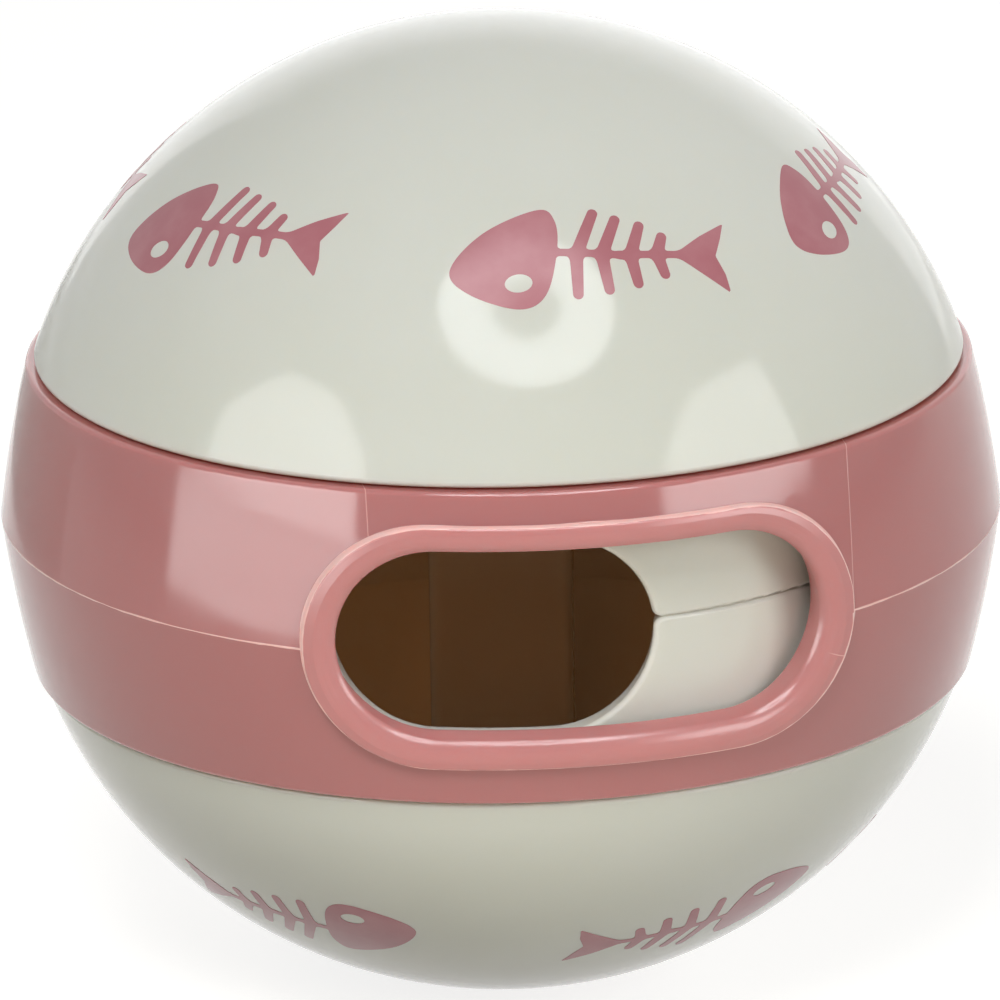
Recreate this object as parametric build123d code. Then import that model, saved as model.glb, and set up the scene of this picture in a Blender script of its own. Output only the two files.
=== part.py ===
from build123d import *
import os
from math import asin, degrees, hypot, sqrt

# Treat dispensing ball for a cat.
# Two moulded shells push together on a square post, and a ring turns on the band between them.
# The ring's window is longer than the treat hole, so turning the ring opens or covers the hole.
# Frame: origin at the centre of the ball, +Z up along the post, the treat hole faces -Y. Millimetres.

# Domes
BALL_RADIUS = 34.4          # outside of both domes
DOME_WALL = 1.8
SHOULDER_ROUND = 0.3        # rounded edge of each dome beside the ring

# Ring
RING_HEIGHT = 22.0
RING_PROUD = 0.44           # how far the ring's edges stand out from the domes
RING_BULGE = 2.05           # how much further the ring's middle stands out than its edges
RING_CROWN = 0.17           # rounding of each half of the ring's outer face, off a straight cone
RING_EDGE_WALL = 1.75       # the ring's wall at its edges
RING_EDGE_ROUND = 0.35
RING_END_GAP = 0.15         # running gap between the ring and each shoulder
RING_TURN = 11.5            # degrees from the treat hole to the ring's window at rest

# Ring window and its rolled rim
WINDOW_LENGTH = 33.2
WINDOW_HEIGHT = 13.3
WINDOW_RISE = 0.35          # the window's middle lies this far above the ring's
RIM_WIDTH = 1.85            # from the window's edge to the rim's outer edge, above and below
RIM_END_WIDTH = 2.35        # the same at the two round ends
RIM_PROUD = 0.35            # how far the rim's crest stands out from the ring's middle
RIM_OUTER_SHARE = 0.12      # rounding of the rim's outer edge, as a share of its width
RIM_INNER_SHARE = 0.6       # the same at the window's edge

# Band that the ring turns on, and the treat hole through it
BAND_GAP = 0.4              # running gap between the ring's bore and the band, beside the shoulders
BAND_TAPER = 0.5            # how much smaller the band's radius is at the seam
BAND_WALL = 1.5             # the band's wall at the seam
SEAM_HEIGHT = 0.6           # the seam between the halves lies this far above the ring's middle
HOLE_LENGTH = 21.8
HOLE_HEIGHT = 13.9
HOLE_CORNER_ROUND = 0.75    # where the hole's edge meets the seam
BAND_EDGE_ROUND = 0.3       # outer edge of the hole and of the seam

# Lap joint at the seam
LAP_HEIGHT = 1.2
LAP_GAP = 0.15
LAP_SETBACK = 1.2           # the lip stops this far short of the hole

# Post: a square socket in the lower shell takes a square plug on the upper shell
POST_WIDTH = 10.0
POST_WALL = 1.5
POST_ROUND = 0.8
POST_TOP_GAP = 0.4          # the socket's rim stays this far below the seam
POST_FLOOR = 0.6            # flat floor of the socket, above the inside of the dome
PLUG_GAP = 0.1              # push fit, each side
PLUG_WALL = 1.4
PLUG_DEPTH = 12.0           # how far the plug reaches into the socket
PLUG_LEAD = 0.5             # chamfer at the plug's tip
PLUG_CORE_ROUND = 0.5

# Worked out from the sizes above
SHOULDER_HEIGHT = RING_HEIGHT / 2 + RING_END_GAP
SHOULDER_RADIUS = sqrt(BALL_RADIUS**2 - SHOULDER_HEIGHT**2)
CAVITY_RADIUS = BALL_RADIUS - DOME_WALL
RING_EDGE_RADIUS = SHOULDER_RADIUS + RING_PROUD
RING_RADIUS = RING_EDGE_RADIUS + RING_BULGE
RING_BORE_RADIUS = RING_EDGE_RADIUS - RING_EDGE_WALL
BAND_RADIUS = RING_BORE_RADIUS - BAND_GAP
SEAM_RADIUS = BAND_RADIUS - BAND_TAPER
NECK_RADIUS = SEAM_RADIUS - BAND_WALL
LAP_RADIUS = SEAM_RADIUS - BAND_WALL / 2
POST_TOP = SEAM_HEIGHT - POST_TOP_GAP
SOCKET_WIDTH = POST_WIDTH - 2 * POST_WALL
PLUG_WIDTH = SOCKET_WIDTH - 2 * PLUG_GAP
PLUG_TIP = POST_TOP - PLUG_DEPTH
REACH = RING_RADIUS + BALL_RADIUS      # long enough to pass through any wall


def obround_bar(length, height):
    """A bar with round ends that runs from the axis out through the wall along -Y."""
    return extrude(Plane.XZ * SlotOverall(length, height), REACH)


def square_bar(width, corner, bottom, top):
    """An upright square bar on the axis."""
    return Pos(0, 0, bottom) * extrude(RectangleRounded(width, width, corner), top - bottom)


def spun(*edges):
    """The solid made by turning a closed outline, drawn in X and Z, about the ball's axis."""
    return revolve(Plane.XZ * make_face(edges), Axis.Z)


def dome_angle(height, radius):
    """The angle above the equator, in degrees, where a sphere reaches a height."""
    return degrees(asin(height / radius))


def cup(mouth):
    """A dome over a tapered band that is open at its mouth, with half of the treat hole."""
    low = dome_angle(SHOULDER_HEIGHT, BALL_RADIUS)
    dome = CenterArc((0, 0), BALL_RADIUS, low, 90 - low)
    sides = Polyline(
        (0, BALL_RADIUS),
        (0, mouth),
        (SEAM_RADIUS, mouth),
        (BAND_RADIUS, SHOULDER_HEIGHT),
        (SHOULDER_RADIUS, SHOULDER_HEIGHT),
    )
    body = spun(*dome.edges(), *sides.edges())
    rims = [edge for edge in body.edges().filter_by(GeomType.CIRCLE) if edge.is_closed]
    body = fillet(max(rims, key=lambda edge: edge.radius), SHOULDER_ROUND)

    neck_top = sqrt(CAVITY_RADIUS**2 - NECK_RADIUS**2)
    low = dome_angle(neck_top, CAVITY_RADIUS)
    ceiling = CenterArc((0, 0), CAVITY_RADIUS, low, 90 - low)
    neck = Polyline((0, CAVITY_RADIUS), (0, mouth), (NECK_RADIUS, mouth), (NECK_RADIUS, neck_top))
    body -= spun(*ceiling.edges(), *neck.edges())
    return rounded_hole(body - obround_bar(HOLE_LENGTH, HOLE_HEIGHT), mouth)


def rounded_hole(body, mouth):
    """The hole's two corners at the seam, then its outer edge and the seam's, are rounded."""
    at_mouth = [edge for edge in body.edges().filter_by(Axis.Y) if abs(edge.center().Z - mouth) < LAP_GAP]
    body = fillet(at_mouth, HOLE_CORNER_ROUND)
    return fillet(front_edges(body, LAP_RADIUS), BAND_EDGE_ROUND)


def lap_ring(inner_radius, outer_radius, height):
    """A thin ring that stands on the seam."""
    ring = Cylinder(outer_radius, height) - Cylinder(inner_radius, height)
    return Pos(0, 0, SEAM_HEIGHT + height / 2) * ring


def make_upper_shell():
    shell = cup(SEAM_HEIGHT)
    shell -= lap_ring(NECK_RADIUS - LAP_GAP, LAP_RADIUS + LAP_GAP, LAP_HEIGHT + LAP_GAP)
    corner = max(POST_ROUND - PLUG_GAP, PLUG_GAP)
    plug = square_bar(PLUG_WIDTH, corner, PLUG_TIP, CAVITY_RADIUS)
    plug = chamfer(plug.faces().sort_by(Axis.Z)[0].edges(), PLUG_LEAD)
    core = PLUG_WIDTH - 2 * PLUG_WALL
    plug -= square_bar(core, PLUG_CORE_ROUND, PLUG_TIP, CAVITY_RADIUS - DOME_WALL)
    return shell + plug


def make_lower_shell():
    shell = mirror(cup(-SEAM_HEIGHT), about=Plane.XY)
    lip = lap_ring(NECK_RADIUS + LAP_GAP, LAP_RADIUS, LAP_HEIGHT)
    shell += lip - obround_bar(HOLE_LENGTH + 2 * LAP_SETBACK, HOLE_HEIGHT)
    post = square_bar(POST_WIDTH, POST_ROUND, -CAVITY_RADIUS, POST_TOP)
    post -= square_bar(SOCKET_WIDTH, POST_ROUND, POST_FLOOR - CAVITY_RADIUS, POST_TOP)
    return shell + post


def barrel(*outer_edges):
    """A solid as high as the ring, with the given outer outline from its lower edge to its upper."""
    half = RING_HEIGHT / 2
    low = outer_edges[0] @ 0
    high = outer_edges[-1] @ 1
    ends = Polyline((high.X, half), (0, half), (0, -half), (low.X, -half))
    return spun(*[edge.edge() for edge in outer_edges], *ends.edges())


def make_adjuster_ring():
    half = RING_HEIGHT / 2
    middle = (RING_RADIUS, 0)
    lower_face = SagittaArc((RING_EDGE_RADIUS, -half), middle, -RING_CROWN)
    upper_face = SagittaArc(middle, (RING_EDGE_RADIUS, half), -RING_CROWN)
    ring = barrel(lower_face, upper_face)
    circles = ring.edges().filter_by(GeomType.CIRCLE).sort_by(Axis.Z)
    ring = fillet([circles[0], circles[-1]], RING_EDGE_ROUND)

    crest_edge = RING_EDGE_RADIUS + RIM_PROUD
    crest = ThreePointArc((crest_edge, -half), (RING_RADIUS + RIM_PROUD, 0), (crest_edge, half))
    outline = obround_bar(WINDOW_LENGTH + 2 * RIM_END_WIDTH, WINDOW_HEIGHT + 2 * RIM_WIDTH)
    rim = Pos(0, 0, WINDOW_RISE) * outline & barrel(crest)
    rim = fillet(front_edges(rim, RING_BORE_RADIUS), RIM_OUTER_SHARE * RIM_WIDTH)

    ring = ring + rim - Cylinder(RING_BORE_RADIUS, 2 * RING_HEIGHT)
    ring -= Pos(0, 0, WINDOW_RISE) * obround_bar(WINDOW_LENGTH, WINDOW_HEIGHT)
    ring = fillet(rim_front(ring).inner_wires()[0].edges(), RIM_INNER_SHARE * RIM_WIDTH)
    return Rot(0, 0, RING_TURN) * ring


def rim_front(ring):
    """The front face of the rim, which goes all the way round the window."""
    holed = [face for face in ring.faces() if face.inner_wires()]
    return min(holed, key=lambda face: face.center().Y)


def front_edges(body, radius):
    """The edges in front that lie further out than a radius, all along their length."""

    def is_out(edge):
        points = [edge @ share for share in (0, 0.5, 1)]
        return all(point.Y < 0 and hypot(point.X, point.Y) > radius for point in points)

    return body.edges().filter_by(is_out)


if __name__ == "__main__":
    os.makedirs("parts", exist_ok=True)
    pieces = {
        "upper_shell": make_upper_shell(),
        "lower_shell": make_lower_shell(),
        "adjuster_ring": make_adjuster_ring(),
    }
    for name, piece in pieces.items():
        export_step(piece, f"parts/{name}.step")
        print(name, piece.bounding_box().size, round(piece.volume, 1), len(piece.solids()), piece.is_valid)
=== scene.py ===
"""Treat dispensing ball for a cat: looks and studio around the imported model."""
from math import cos, pi, radians, sin, tan

import bmesh
import bpy
import numpy as np
from mathutils import Matrix, Vector


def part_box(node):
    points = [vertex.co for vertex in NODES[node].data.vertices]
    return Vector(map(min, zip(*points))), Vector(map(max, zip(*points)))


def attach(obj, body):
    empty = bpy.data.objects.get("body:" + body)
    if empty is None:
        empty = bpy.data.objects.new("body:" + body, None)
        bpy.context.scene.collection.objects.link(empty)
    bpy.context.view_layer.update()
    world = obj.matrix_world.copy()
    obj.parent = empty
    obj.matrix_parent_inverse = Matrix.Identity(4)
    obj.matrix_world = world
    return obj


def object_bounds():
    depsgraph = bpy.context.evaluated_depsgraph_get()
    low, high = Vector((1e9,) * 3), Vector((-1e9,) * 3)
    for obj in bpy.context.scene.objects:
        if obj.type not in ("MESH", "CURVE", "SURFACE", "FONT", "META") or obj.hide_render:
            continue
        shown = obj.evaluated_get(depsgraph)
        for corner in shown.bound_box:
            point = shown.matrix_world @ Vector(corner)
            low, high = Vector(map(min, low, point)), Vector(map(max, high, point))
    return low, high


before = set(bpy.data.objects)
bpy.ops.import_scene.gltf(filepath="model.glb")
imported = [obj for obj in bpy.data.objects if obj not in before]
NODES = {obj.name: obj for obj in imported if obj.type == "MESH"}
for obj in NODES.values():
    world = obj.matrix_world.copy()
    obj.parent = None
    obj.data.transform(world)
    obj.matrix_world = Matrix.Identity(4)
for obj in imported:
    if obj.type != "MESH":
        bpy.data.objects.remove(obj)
cad_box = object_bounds()

MM = 0.001

# Sizes of the object, in millimetres
BALL_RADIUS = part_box("upper_shell")[1][2] / MM
RING_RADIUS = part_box("adjuster_ring")[1][0] / MM
RING_HALF_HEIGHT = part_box("adjuster_ring")[1][2] / MM
RING_BULGE = 2.05               # how much further the ring's middle stands out than its edges
RING_TURN = 11.5                # degrees from the treat hole to the ring's window
WINDOW_LENGTH = 33.2
WINDOW_HEIGHT = 13.3
WINDOW_RISE = 0.35              # the window's middle lies this far above the ring's
RIM_WIDTH = 1.85
RIM_END_WIDTH = 2.35
RIM_PROUD = 0.35                # how far the rim's crest stands out from the ring's middle
RIM_SIZE = (WINDOW_LENGTH + 2 * RIM_END_WIDTH, WINDOW_HEIGHT + 2 * RIM_WIDTH)

# Colours of the two plastics and the ink
CREAM = (0.61, 0.62, 0.565)
CREAM_CLOUD = (0.595, 0.605, 0.54)
WALL_TINT = (0.37, 0.215, 0.1)  # share of the light that gets through each face of a shell's wall
PINK = (0.41, 0.147, 0.141)
PINK_CLOUD = (0.40, 0.14, 0.134)
PINK_RIM_PAINTED_LIGHT = (0.475, 0.19, 0.182)     # painted light: the rim is painted paler for the light that it catches from the front
PINK_FLASH = (0.78, 0.48, 0.44)
INK = (0.36, 0.125, 0.145)
INK_THIN = (0.41, 0.17, 0.19)

# Gloss: roughness, refraction, and how far light spreads inside, in millimetres for red, green and blue
GLOSS = 0.1
RIM_GLOSS = 0.225
INK_GLOSS = 0.2
CREAM_IOR = 1.36
PINK_IOR = 1.58
INK_IOR = 1.32
CREAM_SPREAD = (1.2, 1.1, 1.0)
PINK_SPREAD = (1.6, 1.0, 0.9)
PINK_SPREAD_SHARE = 0.8
PEEL_HEIGHT = 0.004             # orange peel on every plastic, in millimetres

# Unevenness: waves in a millimetre, and the values between which noise is stretched
PEEL_WAVES = 0.3
GLOSS_WAVES = 0.12
CLOUD_WAVES = 0.05
INK_WAVES = 0.25
FLASH_WAVES = 0.25
WANDER_WAVES = 0.5
NOISE_SPAN = (0.3, 0.7)
INK_SPAN = (0.35, 0.75)
GLOSS_SPAN = (0.8, 1.2)         # how much the roughness varies, as shares of it

# Mould marks on the ring, in millimetres
FLASH_WIDTH = 0.055             # half the width of the line where the mould's halves met
FLASH_WANDER = 0.09
FLASH_HEIGHT = 0.03
LINE_EDGE = (0.6, 1.4)          # shares of a line's half width over which it fades
FLASH_HEAVY = 2.2               # how much wider the line is at the window's lower right
HEAVY_BETWEEN = (8.0, 14.0)     # where it grows wider, measured across the window from its middle
SLIDE_LINES = (-14.4, 19.0)     # edges of the mould's slide, measured in the same way
SLIDE_WIDTH = 0.033
SLIDE_SHOWN = 0.4
KNIT_ANGLE = -22                # degrees round the window's right end, where the plastic flowed together
KNIT_WIDTH = 0.04
KNIT_SHOWN = 0.5
KNIT_BETWEEN = (-1.6, -0.6)     # where it appears, measured from the rim's outer edge
RIM_FLARE = 0.5                 # how much the gloss on the window's wall leans outwards
FLARE_START = 0.15              # depth behind the crest at which the lean sets in

# Fishbone print, in millimetres: x from head to tail, y up, the origin halfway along
HEAD = [
    (-9.3, 0.5), (-6.6, 2.9), (-2.6, 4.15), (-1.6, 3.2),
    (-1.85, 0.9), (-3.2, -2.4), (-5.2, -3.2), (-8.2, -1.6),
]
EYE_PLACE = (-4.9, -1.3)
EYE_HALF = (0.94, 0.68)
SPINE = [(-1.9, 0.65), (2.4, 0.05), (6.9, 0.0)]
SPINE_HALF = 0.28
# Upper tip, place on the spine and lower tip of each rib
RIBS = [
    ((1.1, 3.45), (-0.65, 0.3), (-1.05, -2.65)),
    ((2.55, 2.85), (1.1, 0.15), (1.15, -2.5)),
    ((4.15, 2.3), (3.1, 0.0), (3.25, -2.15)),
    ((5.6, 1.4), (5.0, 0.0), (5.3, -1.5)),
]
RIB_HALF = (0.46, 0.36)         # at the spine and at the tip
TAIL = [
    (6.5, 0.2), (8.4, 1.5), (10.5, 2.7), (10.0, 1.4), (9.35, 0.0),
    (9.85, -1.4), (10.0, -2.8), (8.2, -1.5), (6.5, -0.2),
]
PRINT_BOX = ((-10, 11.4), (-4, 5))
INK_BLEND = 0.25                # rounding where the ink's strokes meet
INK_STEP = 0.14                 # grid on which the print's outline is found
INK_HEIGHT = 0.015              # how far the ink stands out from the dome
INK_DEPTH = 0.05                # how far its edge goes into the dome
INK_CREASE = 40                 # degrees between the film's face and its edge that stay sharp
# Azimuth, latitude and turn of each print, in degrees, and its size as a share of the drawing above
UPPER_PRINTS = [
    (15.8, 45.3, -0.2, 1.0),
    (-50.6, 44.8, 14.5, 0.98),
    (73.2, 45.2, 8.5, 0.935),
    (-108.5, 42.5, 3, 0.95),
    (132, 45, -3, 0.97),
    (192, 44.5, 5, 0.97),
]
LOWER_PRINTS = [
    (-32.7, -43.1, 179, 0.947),
    (35.3, -44.9, 194, 0.945),
    (-94, -44.5, 183, 0.95),
    (93, -44, 178, 0.95),
    (153, -45, 185, 0.95),
    (214, -45, 181, 0.95),
]

# Camera, fitted to the photograph
CAMERA_AZIMUTH = 1.5            # degrees from the hole's side towards +X
CAMERA_ELEVATION = 17.88
CAMERA_ROLL = -0.81
CAMERA_DISTANCE = 20 * BALL_RADIUS
CAMERA_LENS = 352.9
CAMERA_SENSOR = 36
CAMERA_SHIFT = (-0.00078, -0.00137)

# Soft boxes, in millimetres and degrees. A cut takes a corner off a box:
# two points on a line, as shares of its width and height
BOX_DISTANCE = 400              # from the ball's axis to each soft box
LEFT_BOX_CUTS = [((0.0, 0.61), (0.3, 1.0)), ((0.7, 1.0), (1.0, 0.61))]
RIGHT_BOX_CUTS = [((0.036, 0.526), (0.414, 1.013))]
CUT_BLUR = 0.03
# Azimuth, sides, heights, brightness, cuts and fade of each
SOFT_BOXES = {
    "left_soft_box": (-54.2, (-130, 170), (35, 290), 4.1, LEFT_BOX_CUTS, 0.0),
    "left_low_box": (-54.2, (-165, 198), (-33, 33), 2.8, [], 0.0),
    "right_soft_box": (58.8, (-150, 130), (30, 262), 3.6, RIGHT_BOX_CUTS, 0.0),
    "back_panel": (180, (-268, 200), (-33, 290), 0.45, [], 0.5),
}

# Round lamp with a dark middle
DISH_AZIMUTH = 13.8
DISH_ELEVATION = 61
DISH_DISTANCE = 800
DISH_HALF_ANGLE = 18.4
DISH_HOLE = 0.38                # share of the diameter
DISH_BLUR = 0.03
DISH_BRIGHTNESS = 6.7
DISH_COLOUR = (0.94, 0.98, 1.0)

# Azimuth, elevation, distance, width, height and brightness of each lamp that lights the ball
LIGHT_PANELS = {
    "key_lamp": (-9, 49, 700, 220, 260, 13.5),
    "left_fill": (-65, 38, 600, 250, 350, 2.4),
    "right_fill": (46, 22, 600, 240, 250, 5.4),
    "right_rim": (132, 20, 600, 250, 300, 3.3),
}

# Cards, floor and background, in millimetres
CARD_PLACE = -85                # the front card's middle, before the ball's axis
CARD_LIFT = 1.4                 # height above the floor
CARD_SIZE = (300, 70)
CARD_GLOW = 1.0
CARD_COLOUR = (1.0, 0.95, 0.82)
SIDE_CARD_ENDS = ((-180, 60), (-66, 150))
SIDE_CARD_HEIGHT = 30
SIDE_CARD_COLOUR = (0.85, 0.85, 0.83)
SIDE_CARD_GLOW = 0.12
FLOOR_HALF = 3000
FLOOR_COLOUR = (0.36, 0.35, 0.32)
FLOOR_GLOW = 0.83
WORLD_DIM = 0.02                # the background's light on the ball, where 1 is the white that is seen


def direction(azimuth, elevation):
    """Unit vector at an azimuth from the hole's side towards +X and an elevation, in degrees."""
    turn = radians(azimuth)
    rise = radians(elevation)
    return Vector((sin(turn) * cos(rise), -cos(turn) * cos(rise), sin(rise)))


# Shader nodes
def add(tree, kind, inputs=None, **settings):
    """A node with its settings and inputs: an input is a value, or another node's output to link."""
    node = tree.nodes.new(kind)
    for name, value in settings.items():
        setattr(node, name, value)
    for key, value in (inputs or {}).items():
        if isinstance(value, bpy.types.NodeSocket):
            tree.links.new(value, node.inputs[key])
        else:
            node.inputs[key].default_value = value
    return node


def maths(tree, operation, first, second=0.0, third=0.0):
    node = add(tree, "ShaderNodeMath", {0: first, 1: second, 2: third}, operation=operation)
    return node.outputs[0]


def noise(tree, place, per_mm, detail=2.0):
    """Noise with about per_mm waves in a millimetre, from 0 to 1."""
    inputs = {"Vector": place, "Scale": per_mm / MM, "Detail": detail}
    return add(tree, "ShaderNodeTexNoise", inputs).outputs["Fac"]


def ramp(tree, value, low, high, start=0.0, end=1.0):
    """value from low to high becomes start to end, smoothly and no further."""
    inputs = {"Value": value, "From Min": low, "From Max": high, "To Min": start, "To Max": end}
    node = add(tree, "ShaderNodeMapRange", inputs, interpolation_type="SMOOTHSTEP")
    return node.outputs["Result"]


def mix_colour(tree, share, first, second):
    node = add(tree, "ShaderNodeMix", data_type="RGBA")
    for socket, value in ((node.inputs[0], share), (node.inputs[6], first), (node.inputs[7], second)):
        if isinstance(value, bpy.types.NodeSocket):
            tree.links.new(value, socket)
        else:
            socket.default_value = (*value, 1.0)
    return node.outputs[2]


def new_material(name):
    material = bpy.data.materials.new(name)
    material.use_nodes = True
    tree = material.node_tree
    tree.nodes.clear()
    return material, tree


def object_place(tree):
    return add(tree, "ShaderNodeTexCoord").outputs["Object"]


# Plastics and ink
def plastic(tree, place, base, roughness, ior, marks=0.0, spread_share=0.0, spread=(1.0, 1.0, 1.0)):
    """Glossy moulded plastic with orange peel, uneven gloss and marks that stand out, in millimetres."""
    peel = maths(tree, "MULTIPLY", noise(tree, place, PEEL_WAVES, detail=1.0), PEEL_HEIGHT)
    height = maths(tree, "ADD", peel, marks)
    bump = add(tree, "ShaderNodeBump", {"Strength": 1.0, "Distance": MM, "Height": height})
    uneven = ramp(tree, noise(tree, place, GLOSS_WAVES), *NOISE_SPAN, *GLOSS_SPAN)
    shader = add(
        tree,
        "ShaderNodeBsdfPrincipled",
        {
            "Base Color": base,
            "Roughness": maths(tree, "MULTIPLY", uneven, roughness),
            "IOR": ior,
            "Normal": bump.outputs["Normal"],
            "Subsurface Weight": spread_share,
            "Subsurface Radius": spread,
            "Subsurface Scale": MM,
        },
    )
    return shader.outputs[0]


def clouded(tree, place, first, second):
    """Two colours of the same plastic, in large soft clouds."""
    cloud = ramp(tree, noise(tree, place, CLOUD_WAVES, detail=3.0), *NOISE_SPAN)
    return mix_colour(tree, cloud, first, second)


def cream_plastic():
    """Cream plastic that lets a little warm light through its wall."""
    material, tree = new_material("cream_plastic")
    place = object_place(tree)
    base = clouded(tree, place, CREAM, CREAM_CLOUD)
    shell = plastic(tree, place, base, GLOSS, CREAM_IOR, spread_share=1.0, spread=CREAM_SPREAD)
    lit_through = add(tree, "ShaderNodeBsdfTransparent", {"Color": (*WALL_TINT, 1.0)}).outputs[0]
    to_lamp = add(tree, "ShaderNodeLightPath").outputs["Is Shadow Ray"]
    both = add(tree, "ShaderNodeMixShader", {0: to_lamp, 1: shell, 2: lit_through})
    add(tree, "ShaderNodeOutputMaterial", {"Surface": both.outputs[0]})
    return material


def ink():
    """Pad-printed ink: a little thinner in places, and less glossy than the dome."""
    material, tree = new_material("fishbone_ink")
    place = object_place(tree)
    thin = ramp(tree, noise(tree, place, INK_WAVES, detail=4.0), *INK_SPAN)
    film = plastic(tree, place, mix_colour(tree, thin, INK, INK_THIN), INK_GLOSS, INK_IOR)
    add(tree, "ShaderNodeOutputMaterial", {"Surface": film})
    return material


def line(tree, distance, half_width):
    """1 on a line and 0 away from it, with a soft edge. Both are in millimetres."""
    share = maths(tree, "DIVIDE", maths(tree, "ABSOLUTE", distance), half_width)
    return ramp(tree, share, *LINE_EDGE, 1.0, 0.0)


def off_obround(tree, across, height, length, width):
    """Signed distance from an upright outline with round ends, negative inside, in millimetres."""
    straight = (length - width) / 2
    beyond = maths(tree, "SUBTRACT", maths(tree, "ABSOLUTE", across), straight)
    beyond = maths(tree, "MAXIMUM", beyond, 0.0)
    square = maths(tree, "MULTIPLY_ADD", beyond, beyond, maths(tree, "MULTIPLY", height, height))
    return maths(tree, "SUBTRACT", maths(tree, "SQRT", square), width / 2)


def ring_place(tree, place):
    """A place on the ring in millimetres, with the window turned to the front: across, depth and height."""
    about_axis = {"Vector": place, "Angle": radians(-RING_TURN)}
    turned = add(tree, "ShaderNodeVectorRotate", about_axis, rotation_type="Z_AXIS")
    to_mm = {0: turned.outputs[0], "Scale": 1 / MM}
    in_mm = add(tree, "ShaderNodeVectorMath", to_mm, operation="SCALE")
    axes = add(tree, "ShaderNodeSeparateXYZ", {0: in_mm.outputs[0]}).outputs
    return axes["X"], axes["Y"], axes["Z"]


def flash_wander(tree, place):
    """How far the mould's lines stray to and fro, in millimetres."""
    ragged = maths(tree, "SUBTRACT", noise(tree, place, WANDER_WAVES, detail=6.0), 0.5)
    return maths(tree, "MULTIPLY", ragged, FLASH_WANDER)


def parting_lines(tree, place, across, height, front, off_rim, on_rim):
    """Where the mould's parts met, round the ring, round the rim and at the slide's edges: 1 on a line."""
    outside = maths(tree, "SUBTRACT", 1.0, on_rim)
    below = maths(tree, "SUBTRACT", 1.0, maths(tree, "GREATER_THAN", height, 0.0))
    wander = flash_wander(tree, place)
    patchy = noise(tree, place, FLASH_WAVES, detail=4.0)
    width = ramp(tree, patchy, *NOISE_SPAN, 0.5 * FLASH_WIDTH, 1.5 * FLASH_WIDTH)
    round_ring = line(tree, maths(tree, "ADD", height, wander), width)
    round_ring = maths(tree, "MULTIPLY", round_ring, outside)

    heavy = maths(tree, "MULTIPLY", ramp(tree, across, *HEAVY_BETWEEN, 0.0, FLASH_HEAVY - 1), below)
    rim_width = maths(tree, "MULTIPLY_ADD", width, heavy, width)
    round_rim = line(tree, maths(tree, "ADD", off_rim, wander), rim_width)
    round_rim = maths(tree, "MULTIPLY", round_rim, front)
    marks = maths(tree, "MAXIMUM", round_ring, round_rim)

    upper_front = maths(tree, "MULTIPLY", maths(tree, "SUBTRACT", outside, below), front)
    for place_across in SLIDE_LINES:
        slide = line(tree, maths(tree, "SUBTRACT", across, place_across), SLIDE_WIDTH)
        slide = maths(tree, "MULTIPLY", slide, upper_front)
        marks = maths(tree, "MAXIMUM", marks, maths(tree, "MULTIPLY", slide, SLIDE_SHOWN))
    return marks


def knit_line(tree, place, across, from_middle, off_rim, on_rim):
    """The short line on the rim where the plastic flowed together: 1 on the line."""
    turn = radians(KNIT_ANGLE)
    from_end = maths(tree, "SUBTRACT", across, WINDOW_LENGTH / 2 - WINDOW_HEIGHT / 2)
    aside = maths(tree, "MULTIPLY", from_end, -sin(turn))
    aside = maths(tree, "MULTIPLY_ADD", from_middle, cos(turn), aside)
    aside = maths(tree, "ADD", aside, flash_wander(tree, place))
    knit = maths(tree, "MULTIPLY", line(tree, aside, KNIT_WIDTH), on_rim)
    knit = maths(tree, "MULTIPLY", knit, ramp(tree, off_rim, *KNIT_BETWEEN, 0.0, KNIT_SHOWN))
    return maths(tree, "MULTIPLY", knit, maths(tree, "GREATER_THAN", from_end, 0.0))


def wall_lean(tree, across, depth, height, on_rim):
    """Depth of the window's wall behind the rim's crest, in millimetres, starting off gently."""
    square = maths(tree, "MULTIPLY_ADD", across, across, maths(tree, "MULTIPLY", depth, depth))
    from_axis = maths(tree, "SQRT", square)
    rise = maths(tree, "DIVIDE", height, RING_HALF_HEIGHT)
    drop = maths(tree, "MULTIPLY", maths(tree, "MULTIPLY", rise, rise), RING_BULGE)
    crest = maths(tree, "SUBTRACT", RING_RADIUS + RIM_PROUD, drop)
    behind = maths(tree, "MAXIMUM", maths(tree, "SUBTRACT", crest, from_axis), 0.0)
    behind_square = maths(tree, "MULTIPLY", behind, behind)
    lean = maths(tree, "DIVIDE", behind_square, maths(tree, "ADD", behind, FLARE_START))
    return maths(tree, "MULTIPLY", lean, on_rim)


def pink_plastic():
    """Pink plastic with fine pale mould lines, and a less glossy rim painted paler as painted light."""
    material, tree = new_material("pink_plastic")
    place = object_place(tree)
    across, depth, height = ring_place(tree, place)
    from_middle = maths(tree, "SUBTRACT", height, WINDOW_RISE)
    front = maths(tree, "LESS_THAN", depth, 0.0)
    off_rim = off_obround(tree, across, from_middle, *RIM_SIZE)
    on_rim = maths(tree, "MULTIPLY", front, maths(tree, "LESS_THAN", off_rim, 0.0))
    parting = parting_lines(tree, place, across, height, front, off_rim, on_rim)
    knit = knit_line(tree, place, across, from_middle, off_rim, on_rim)
    marks = maths(tree, "MAXIMUM", parting, knit)

    base = clouded(tree, place, PINK, PINK_CLOUD)
    # painted light: the rim gets a paler pink for the light that it catches
    base = mix_colour(tree, on_rim, base, PINK_RIM_PAINTED_LIGHT)
    base = mix_colour(tree, marks, base, PINK_FLASH)
    flare = maths(tree, "MULTIPLY", wall_lean(tree, across, depth, height, on_rim), RIM_FLARE)
    relief = maths(tree, "MULTIPLY_ADD", marks, FLASH_HEIGHT, flare)
    gloss = ramp(tree, on_rim, 0.0, 1.0, GLOSS, RIM_GLOSS)
    ring = plastic(tree, place, base, gloss, PINK_IOR, relief, PINK_SPREAD_SHARE, PINK_SPREAD)
    add(tree, "ShaderNodeOutputMaterial", {"Surface": ring})
    return material


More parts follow.
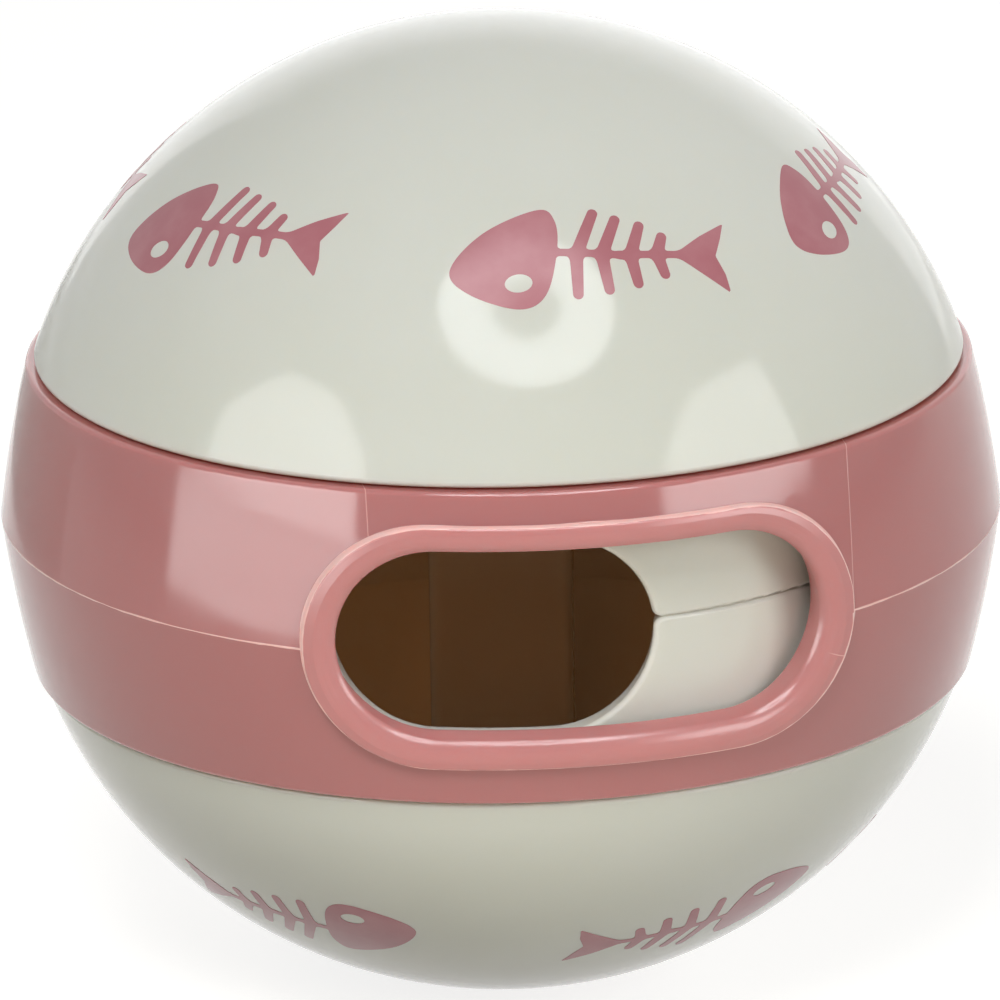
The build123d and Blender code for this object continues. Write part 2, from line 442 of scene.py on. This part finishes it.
# Fishbone print
def along_stroke(x, y, start, end):
    """How far along a straight stroke the nearest point lies, from 0 to 1, and how far away it is."""
    (ax, ay), (bx, by) = start, end
    ex, ey = bx - ax, by - ay
    share = np.clip(((x - ax) * ex + (y - ay) * ey) / (ex * ex + ey * ey), 0, 1)
    return share, np.hypot(x - ax - share * ex, y - ay - share * ey)


def off_polygon(x, y, corners):
    """Signed distance from an outline, negative inside."""
    points = np.array(corners, float)
    nearest = np.full(x.shape, np.inf)
    inside = np.zeros(x.shape, bool)
    for start, end in zip(points, np.roll(points, -1, axis=0)):
        nearest = np.minimum(nearest, along_stroke(x, y, start, end)[1])
        (ax, ay), (bx, by) = start, end
        crosses = (ay > y) != (by > y)
        with np.errstate(divide="ignore", invalid="ignore"):
            inside ^= crosses & (x < ax + (y - ay) * (bx - ax) / (by - ay))
    return np.where(inside, -nearest, nearest)


def off_stroke(x, y, start, end, start_half, end_half):
    """Signed distance from a stroke with round ends that tapers from one half width to the other."""
    share, away = along_stroke(x, y, start, end)
    return away - (start_half + share * (end_half - start_half))


def smooth_loop(corners, steps=10):
    """A smooth closed curve through the corners."""
    points = np.array(corners, float)
    before, after, later = (np.roll(points, shift, axis=0) for shift in (1, -1, -2))
    curve = []
    for p0, p1, p2, p3 in zip(before, points, after, later):
        for t in np.arange(steps) / steps:
            bend = 2 * p0 - 5 * p1 + 4 * p2 - p3
            twist = 3 * p1 - p0 - 3 * p2 + p3
            curve.append(p1 + 0.5 * t * (p2 - p0 + t * (bend + t * twist)))
    return curve


def join(first, second):
    """Two signed distances joined, with a little rounding where they meet."""
    share = np.clip(0.5 + 0.5 * (second - first) / INK_BLEND, 0, 1)
    return second + share * (first - second) - INK_BLEND * share * (1 - share)


def off_fishbone(x, y):
    """Signed distance from the print's outline."""
    strokes = [(start, end, SPINE_HALF, SPINE_HALF) for start, end in zip(SPINE, SPINE[1:])]
    for upper_tip, base, lower_tip in RIBS:
        strokes += [(base, tip, *RIB_HALF) for tip in (upper_tip, lower_tip)]
    shape = off_polygon(x, y, TAIL)
    for stroke in strokes:
        shape = join(shape, off_stroke(x, y, *stroke))
    shape = join(shape, off_polygon(x, y, smooth_loop(HEAD)))
    from_eye = np.hypot((x - EYE_PLACE[0]) / EYE_HALF[0], (y - EYE_PLACE[1]) / EYE_HALF[1])
    return np.maximum(shape, (1 - from_eye) * min(EYE_HALF))


def fishbone_outline():
    """Flat points and faces of the print: grid cells, cut along the outline where they cross it."""
    xs, ys = (np.arange(low, high, INK_STEP) for low, high in PRINT_BOX)
    x, y = np.meshgrid(xs, ys, indexing="ij")
    off = off_fishbone(x, y)
    points, faces, index = [], [], {}

    def point(key, place):
        if key not in index:
            index[key] = len(points)
            points.append(place)
        return index[key]

    for i in range(len(xs) - 1):
        for j in range(len(ys) - 1):
            cell = [(i, j), (i + 1, j), (i + 1, j + 1), (i, j + 1)]
            face = []
            for a, b in zip(cell, cell[1:] + cell[:1]):
                if off[a] < 0:
                    face.append(point(a, (x[a], y[a])))
                if (off[a] < 0) != (off[b] < 0):
                    share = off[a] / (off[a] - off[b])
                    place = (x[a] + share * (x[b] - x[a]), y[a] + share * (y[b] - y[a]))
                    face.append(point(tuple(sorted((a, b))), place))
            if len(face) > 2:
                faces.append(face)
    return np.array(points), faces


def wrap_on_dome(flat, azimuth, latitude, turn):
    """Directions from the ball's centre to flat points laid on the dome around a place, in degrees."""
    middle = np.array(direction(azimuth, latitude))
    east = np.array((cos(radians(azimuth)), sin(radians(azimuth)), 0.0))
    north = np.cross(east, -middle)
    right = cos(radians(turn)) * east + sin(radians(turn)) * north
    up = cos(radians(turn)) * north - sin(radians(turn)) * east
    reach = np.hypot(flat[:, 0], flat[:, 1])[:, None]
    aside = (flat[:, :1] * right + flat[:, 1:] * up) / np.maximum(reach, 1e-9)
    return np.cos(reach / BALL_RADIUS) * middle + np.sin(reach / BALL_RADIUS) * aside


def ink_film(name, out, faces):
    """A thin film that stands out from the dome, with its edge going down into it."""
    mesh = bpy.data.meshes.new(name)
    mesh.from_pydata(out * (BALL_RADIUS - INK_DEPTH) * MM, [], faces)
    film = bmesh.new()
    film.from_mesh(mesh)
    grown = bmesh.ops.extrude_face_region(film, geom=film.faces[:], use_keep_orig=True)["geom"]
    for item in grown:
        if isinstance(item, bmesh.types.BMVert):
            item.co *= (BALL_RADIUS + INK_HEIGHT) / (BALL_RADIUS - INK_DEPTH)
    bmesh.ops.recalc_face_normals(film, faces=film.faces[:])
    film.to_mesh(mesh)
    film.free()
    mesh.shade_smooth()
    mesh.set_sharp_from_angle(angle=radians(INK_CREASE))
    return mesh


def print_fishbones():
    """The prints on both domes. They cast no shadow on the plastic that they lie on."""
    flat, faces = fishbone_outline()
    material = ink()
    for body, prints in (("upper", UPPER_PRINTS), ("lower", LOWER_PRINTS)):
        for number, (azimuth, latitude, turn, size) in enumerate(prints, start=1):
            name = f"{body}_fishbone_{number}"
            mesh = ink_film(name, wrap_on_dome(flat * size, azimuth, latitude, turn), faces)
            mesh.materials.append(material)
            piece = bpy.data.objects.new(name, mesh)
            bpy.context.scene.collection.objects.link(piece)
            piece.visible_shadow = False
            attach(piece, body)


# Studio
def make_camera():
    data = bpy.data.cameras.new("camera")
    data.lens = CAMERA_LENS
    data.sensor_width = CAMERA_SENSOR
    data.shift_x, data.shift_y = CAMERA_SHIFT
    camera = bpy.data.objects.new("camera", data)
    away = direction(CAMERA_AZIMUTH, CAMERA_ELEVATION)
    look = away.to_track_quat("Z", "Y").to_matrix().to_4x4()
    roll = Matrix.Rotation(radians(CAMERA_ROLL), 4, "Z")
    camera.matrix_world = Matrix.Translation(away * CAMERA_DISTANCE * MM) @ look @ roll
    bpy.context.scene.collection.objects.link(camera)
    bpy.context.scene.camera = camera


def area_lamp(name, place, facing, width, height, brightness):
    """A lamp at a place that shines back along its facing direction. brightness 1 looks white."""
    data = bpy.data.lights.new(name, "AREA")
    data.shape = "RECTANGLE"
    data.size = width * MM
    data.size_y = height * MM
    data.energy = brightness * 4 * data.size * data.size_y
    lamp = bpy.data.objects.new(name, data)
    look = facing.to_track_quat("Z", "Y").to_matrix().to_4x4()
    lamp.matrix_world = Matrix.Translation(place * MM) @ look
    bpy.context.scene.collection.objects.link(lamp)
    return lamp


def shade_lamp(lamp, lit_share):
    """lit_share(tree, place) makes the share of the light that gets out at a place on the lamp."""
    lamp.data.use_nodes = True
    tree = lamp.data.node_tree
    tree.nodes.clear()
    place = add(tree, "ShaderNodeNewGeometry").outputs["Parametric"]
    glow = add(tree, "ShaderNodeEmission", {"Strength": lit_share(tree, place)})
    add(tree, "ShaderNodeOutputLight", {"Surface": glow.outputs[0]})


def soft_box(name, azimuth, sides, heights, brightness, cuts, fade):
    """An upright soft box. sides and heights are its edges as seen from outside, from the point level with
    the ball. Each cut takes off a corner above the line through two points, given as shares of the width and
    height. The light dies away over fade, the topmost share of the height."""
    facing = direction(azimuth, 0)
    aside = Vector((-facing.y, facing.x, 0))
    place = facing * BOX_DISTANCE + aside * sum(sides) / 2 + Vector((0, 0, sum(heights) / 2))
    lamp = area_lamp(name, place, facing, sides[1] - sides[0], heights[1] - heights[0], brightness)

    def below_cuts(tree, place):
        axes = add(tree, "ShaderNodeSeparateXYZ", {0: place}).outputs
        lit = ramp(tree, axes["Y"], 1 - fade, 1.0, 1.0, 0.0) if fade else 1.0
        for (u1, v1), (u2, v2) in cuts:
            rise = (v2 - v1) / (u2 - u1)
            edge = maths(tree, "MULTIPLY_ADD", axes["X"], rise, v1 - u1 * rise)
            above = maths(tree, "SUBTRACT", axes["Y"], edge)
            lit = maths(tree, "MULTIPLY", ramp(tree, above, -CUT_BLUR, CUT_BLUR, 1.0, 0.0), lit)
        return lit

    shade_lamp(lamp, below_cuts)
    return lamp


def beauty_dish():
    facing = direction(DISH_AZIMUTH, DISH_ELEVATION)
    size = 2 * DISH_DISTANCE * tan(radians(DISH_HALF_ANGLE))
    lamp = area_lamp("beauty_dish", facing * DISH_DISTANCE, facing, size, size, DISH_BRIGHTNESS)
    lamp.data.shape = "DISK"
    lamp.data.color = DISH_COLOUR
    lamp.data.energy *= pi / 4

    def off_hole(tree, place):
        to_middle = {0: place, 1: (0.5, 0.5, 0.0)}
        from_middle = add(tree, "ShaderNodeVectorMath", to_middle, operation="DISTANCE").outputs["Value"]
        return ramp(tree, from_middle, DISH_HOLE / 2 - DISH_BLUR, DISH_HOLE / 2 + DISH_BLUR)

    shade_lamp(lamp, off_hole)
    return lamp


def light_panel(name, azimuth, elevation, distance, width, height, brightness):
    """A lamp that shines on the ball from a direction, in degrees and millimetres."""
    facing = direction(azimuth, elevation)
    return area_lamp(name, facing * distance, facing, width, height, brightness)


def front_card():
    """A white card that lies in front of the ball and throws light up at it."""
    place = Vector((0, CARD_PLACE, cad_box[0][2] / MM + CARD_LIFT))
    card = area_lamp("front_card", place, Vector((0, 0, -1)), *CARD_SIZE, CARD_GLOW)
    card.data.color = CARD_COLOUR
    card.visible_camera = False
    return card


def make_lamps():
    """First the lamps that the gloss reflects, then those that light the ball and don't show in the gloss."""
    seen = [soft_box(name, *settings) for name, settings in SOFT_BOXES.items()]
    seen.append(beauty_dish())
    for lamp in seen:
        lamp.visible_diffuse = False
    unseen = [light_panel(name, *settings) for name, settings in LIGHT_PANELS.items()]
    unseen.append(front_card())
    for lamp in unseen:
        lamp.visible_glossy = False


def seen_rays(tree):
    """1 for rays that show the background: straight from the camera, in a reflection or through glass."""
    path = add(tree, "ShaderNodeLightPath")
    shown = maths(tree, "MAXIMUM", path.outputs["Is Camera Ray"], path.outputs["Is Glossy Ray"])
    return maths(tree, "MAXIMUM", shown, path.outputs["Is Transmission Ray"])


def make_world():
    world = bpy.data.worlds.new("studio")
    bpy.context.scene.world = world
    world.use_nodes = True
    tree = world.node_tree
    tree.nodes.clear()
    strength = ramp(tree, seen_rays(tree), 0.0, 1.0, WORLD_DIM, 1.0)
    sky = add(tree, "ShaderNodeBackground", {"Color": (1, 1, 1, 1), "Strength": strength})
    add(tree, "ShaderNodeOutputWorld", {"Surface": sky.outputs[0]})


def paper_sheet(name, corners, colour, glow):
    """A flat sheet of white paper, which also glows for the rays that show the background."""
    mesh = bpy.data.meshes.new(name)
    mesh.from_pydata(corners, [], [(0, 1, 2, 3)])
    sheet = bpy.data.objects.new(name, mesh)
    bpy.context.scene.collection.objects.link(sheet)
    material, tree = new_material(f"{name}_paper")
    lit = add(tree, "ShaderNodeBsdfDiffuse", {"Color": (*colour, 1.0)})
    shine = add(tree, "ShaderNodeEmission", {"Strength": maths(tree, "MULTIPLY", seen_rays(tree), glow)})
    both = add(tree, "ShaderNodeAddShader", {0: lit.outputs[0], 1: shine.outputs[0]})
    add(tree, "ShaderNodeOutputMaterial", {"Surface": both.outputs[0]})
    mesh.materials.append(material)
    return sheet


def make_floor():
    """A white floor that keeps the ball's shadow."""
    half = FLOOR_HALF * MM
    low = cad_box[0][2]
    corners = [(-half, -half, low), (half, -half, low), (half, half, low), (-half, half, low)]
    floor = paper_sheet("floor", corners, FLOOR_COLOUR, FLOOR_GLOW)


def make_side_card():
    """A low card that stands behind the ball on the left, outside the picture.
    It keeps the ring's left edge darker."""
    low = cad_box[0][2]
    foot = [(x * MM, y * MM, low) for x, y in SIDE_CARD_ENDS]
    top = [(x, y, low + SIDE_CARD_HEIGHT * MM) for x, y, low in reversed(foot)]
    card = paper_sheet("side_card", foot + top, SIDE_CARD_COLOUR, SIDE_CARD_GLOW)
    card.visible_camera = False


def set_material(node_name, material):
    for slot in NODES[node_name].material_slots:
        slot.material = material


cream = cream_plastic()
set_material("upper_shell", cream)
set_material("lower_shell", cream)
set_material("adjuster_ring", pink_plastic())
print_fishbones()

make_camera()
make_world()
make_floor()
make_side_card()
make_lamps()

bpy.context.scene.view_settings.view_transform = "Standard"
